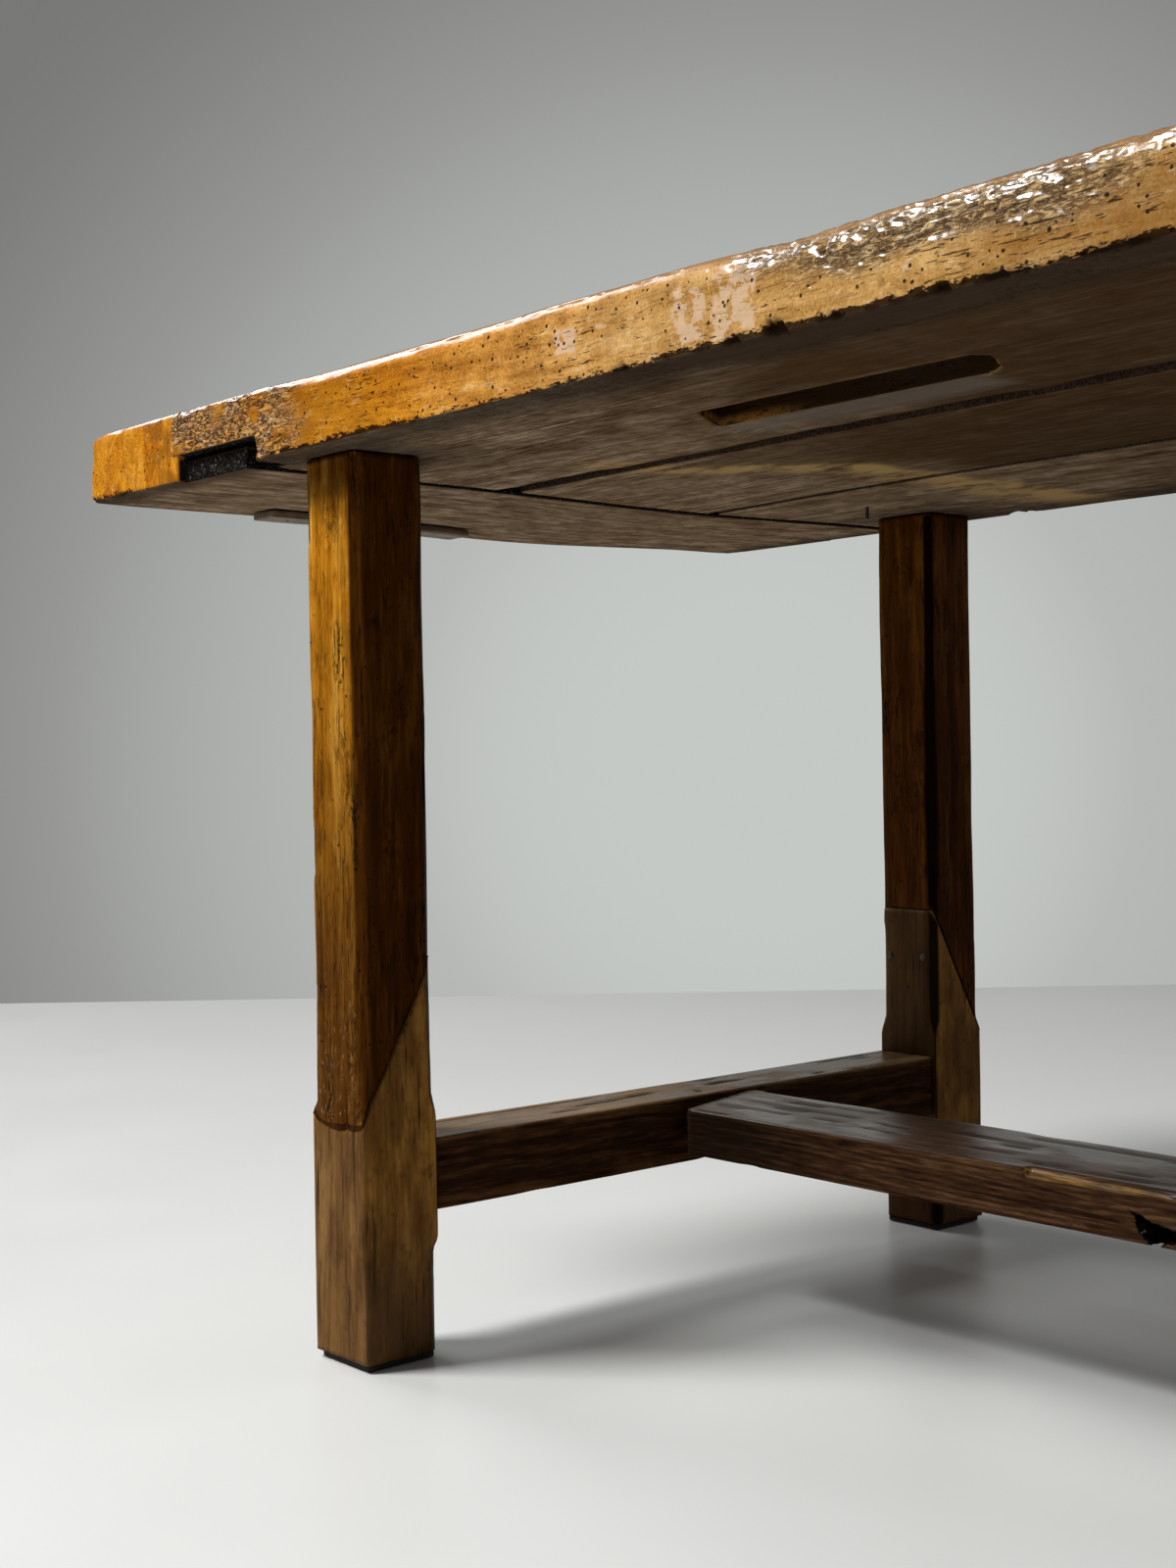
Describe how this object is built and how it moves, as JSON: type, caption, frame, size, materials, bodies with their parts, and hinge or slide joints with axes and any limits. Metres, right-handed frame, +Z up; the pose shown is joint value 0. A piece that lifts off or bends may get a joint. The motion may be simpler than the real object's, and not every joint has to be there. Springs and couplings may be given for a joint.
{
  "type": "refectory table",
  "caption": "Long rustic refectory table: thick worn plank top with lapped end boards on chamfered, foot-scarfed legs joined by an H stretcher.",
  "frame": {"origin": "on the floor under the middle of the table", "axes": "+X along the table towards its right end, +Y from the front edge to the back edge, +Z up"},
  "size_m": [2, 0.794, 0.76],
  "materials": {
    "top_boards": "waxed amber hardwood, worm-eaten and worn, dusty unfinished underside",
    "end_boards": "waxed amber hardwood, smooth and knotty, dusty unfinished underside",
    "seam_tongues": "bare sawn hardwood",
    "leg_posts": "old waxed hardwood, worm-tracked, dark brown",
    "leg_feet": "stained newer hardwood, grey-brown, scratched",
    "foot_pads": "black felt",
    "stretchers": "dark waxed oak with rubbed arrises",
    "pegs_and_wedges": "dark split oak, end grain showing",
    "mending_cleat": "dark dusty hardwood strip",
    "iron_nails": "black rusted iron"
  },
  "bodies": {
    "root": {"back_seam_tongues": "seam_tongues", "cleat_nails": "iron_nails", "end_board_left": "end_boards", "end_board_right": "end_boards", "end_stretcher_left": "stretchers", "end_stretcher_right": "stretchers", "foot_pad_back_left": "foot_pads", "foot_pad_back_right": "foot_pads", "foot_pad_front_left": "foot_pads", "foot_pad_front_right": "foot_pads", "front_seam_tongues": "seam_tongues", "lap_pegs_left": "pegs_and_wedges", "lap_pegs_right": "pegs_and_wedges", "leg_foot_back_left": "leg_feet", "leg_foot_back_right": "leg_feet", "leg_foot_front_left": "leg_feet", "leg_foot_front_right": "leg_feet", "leg_post_back_left": "leg_posts", "leg_post_back_right": "leg_posts", "leg_post_front_left": "leg_posts", "leg_post_front_right": "leg_posts", "medial_pegs": "pegs_and_wedges", "medial_stretcher": "stretchers", "mending_cleat": "mending_cleat", "old_nail": "iron_nails", "scarf_nails": "iron_nails", "scarf_pegs": "pegs_and_wedges", "stretcher_pegs": "pegs_and_wedges", "tenon_wedges": "pegs_and_wedges", "top_board_back": "top_boards", "top_board_front": "top_boards", "top_board_middle": "top_boards"}
  },
  "joints": []
}
